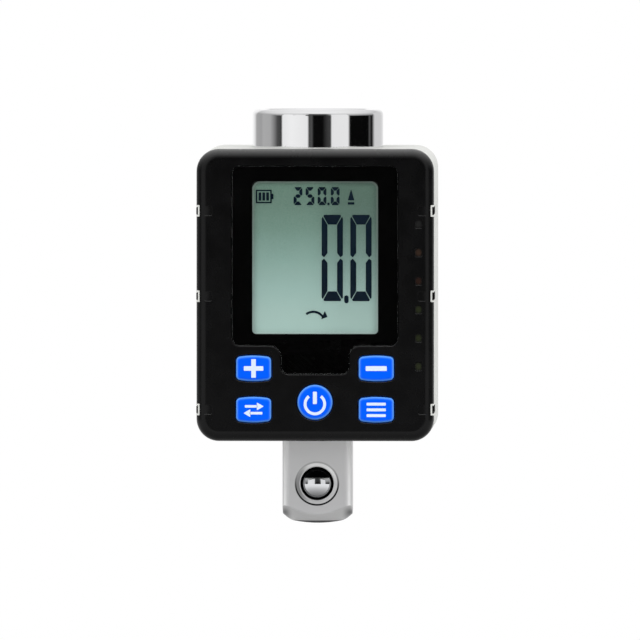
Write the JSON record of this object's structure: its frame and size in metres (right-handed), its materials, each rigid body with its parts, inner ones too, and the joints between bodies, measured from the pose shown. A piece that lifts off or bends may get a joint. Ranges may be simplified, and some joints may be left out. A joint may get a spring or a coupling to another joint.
{
  "type": "digital torque adapter",
  "caption": "Digital torque adapter: steel shaft with a female and a male half-inch square through a boxed case with display, push buttons, battery door and sprung detent ball.",
  "frame": {"origin": "centre of the female square at the top face of the shaft's head", "axes": "+Z along the shaft's axis, out of the female square, with the male square pointing to -Z; the display faces -Y; +X is to the right of someone who looks at the display"},
  "size_m": [0.0434, 0.04, 0.0759],
  "materials": {
    "shaft_chrome": "polished chrome on the head, satin on the square",
    "ball_steel": "polished",
    "spring_steel": "bright drawn wire",
    "clip_steel": "dark phosphated",
    "gauge_film": "amber film with a metal foil grid",
    "red_lead": "insulated wire",
    "seal_rubber": "matt",
    "washer_bronze": "oiled bronze",
    "shell_grey": "fine grained light grey",
    "cover_black": "fine grained smoked black",
    "window_clear": "clear gloss",
    "mask_print": "black print behind the window",
    "lcd_face": "grey-green reflective display",
    "frame_white": "plain",
    "zebra_rubber": "soft, with fine dark layers",
    "board_green": "green solder mask with copper pads",
    "chip_black": "moulded package with tinned legs",
    "chip_tan": "fired ceramic with tinned ends",
    "led_cream": "cast resin",
    "light_smoke": "smoked translucent",
    "switch_black": "moulded with a pressed steel lid",
    "buzzer_black": "moulded",
    "screw_steel": "zinc plated",
    "button_blue": "satin blue with a white printed sign",
    "plunger_ivory": "moulded",
    "cell_sleeve": "printed sleeve, bare of names, with steel ends",
    "contact_nickel": "nickel plated",
    "insert_brass": "knurled"
  },
  "bodies": {
    "tool": {"drive_shaft": "shaft_chrome", "strain_gauges": "gauge_film", "gauge_leads": "red_lead", "upper_seal": "seal_rubber", "retaining_ring": "clip_steel", "thrust_washer": "washer_bronze", "detent_spring": "spring_steel", "rear_housing": "shell_grey", "front_cover": "cover_black", "display_window": "window_clear", "window_mask": "mask_print", "lcd_glass": "lcd_face", "lcd_frame": "frame_white", "zebra_strip": "zebra_rubber", "main_board": "board_green", "main_chip": "chip_black", "amplifier_chip": "chip_black", "chip_parts": "chip_tan", "led_chips": "led_cream", "light_windows": "light_smoke", "tact_switches": "switch_black", "buzzer": "buzzer_black", "board_screws": "screw_steel", "cells": "cell_sleeve", "bridge_contact": "contact_nickel", "end_contacts": "contact_nickel", "contact_springs": "contact_nickel", "power_leads": "red_lead", "screw_insert": "insert_brass"},
    "increase": {"button_increase": "button_blue", "plunger_increase": "plunger_ivory"},
    "decrease": {"button_decrease": "button_blue", "plunger_decrease": "plunger_ivory"},
    "unit": {"button_unit": "button_blue", "plunger_unit": "plunger_ivory"},
    "mode": {"button_mode": "button_blue", "plunger_mode": "plunger_ivory"},
    "power": {"button_power": "button_blue", "plunger_power": "plunger_ivory"},
    "ball": {"detent_ball": "ball_steel"},
    "door": {"battery_door": "shell_grey"},
    "screw": {"door_screw": "screw_steel", "screw_keeper": "clip_steel"}
  },
  "joints": [
    {"name": "increase_press", "type": "slide", "parent": "tool", "child": "increase", "axis": [0, 1, 0], "range_m": [0, 0.0005], "stiffness_N_per_m": 1500, "springref_m": -0.0002},
    {"name": "decrease_press", "type": "slide", "parent": "tool", "child": "decrease", "axis": [0, 1, 0], "range_m": [0, 0.0005], "stiffness_N_per_m": 1500, "springref_m": -0.0002},
    {"name": "unit_press", "type": "slide", "parent": "tool", "child": "unit", "axis": [0, 1, 0], "range_m": [0, 0.0005], "stiffness_N_per_m": 1500, "springref_m": -0.0002},
    {"name": "mode_press", "type": "slide", "parent": "tool", "child": "mode", "axis": [0, 1, 0], "range_m": [0, 0.0005], "stiffness_N_per_m": 1500, "springref_m": -0.0002},
    {"name": "power_press", "type": "slide", "parent": "tool", "child": "power", "axis": [0, 1, 0], "range_m": [0, 0.0005], "stiffness_N_per_m": 1500, "springref_m": -0.0002},
    {"name": "detent_push", "type": "slide", "parent": "tool", "child": "ball", "axis": [0, 1, 0], "range_m": [0, 0.001], "stiffness_N_per_m": 2500, "springref_m": -0.001, "deforming": ["detent_spring"]},
    {"name": "door_lift_off", "type": "slide", "parent": "tool", "child": "door", "axis": [0, 1, 0], "range_m": [0, 0.025]},
    {"name": "screw_turn", "type": "hinge", "parent": "door", "child": "screw", "pos_m": [0, 0.0194, -0.0336], "axis": [0, 1, 0], "continuous": true}
  ]
}
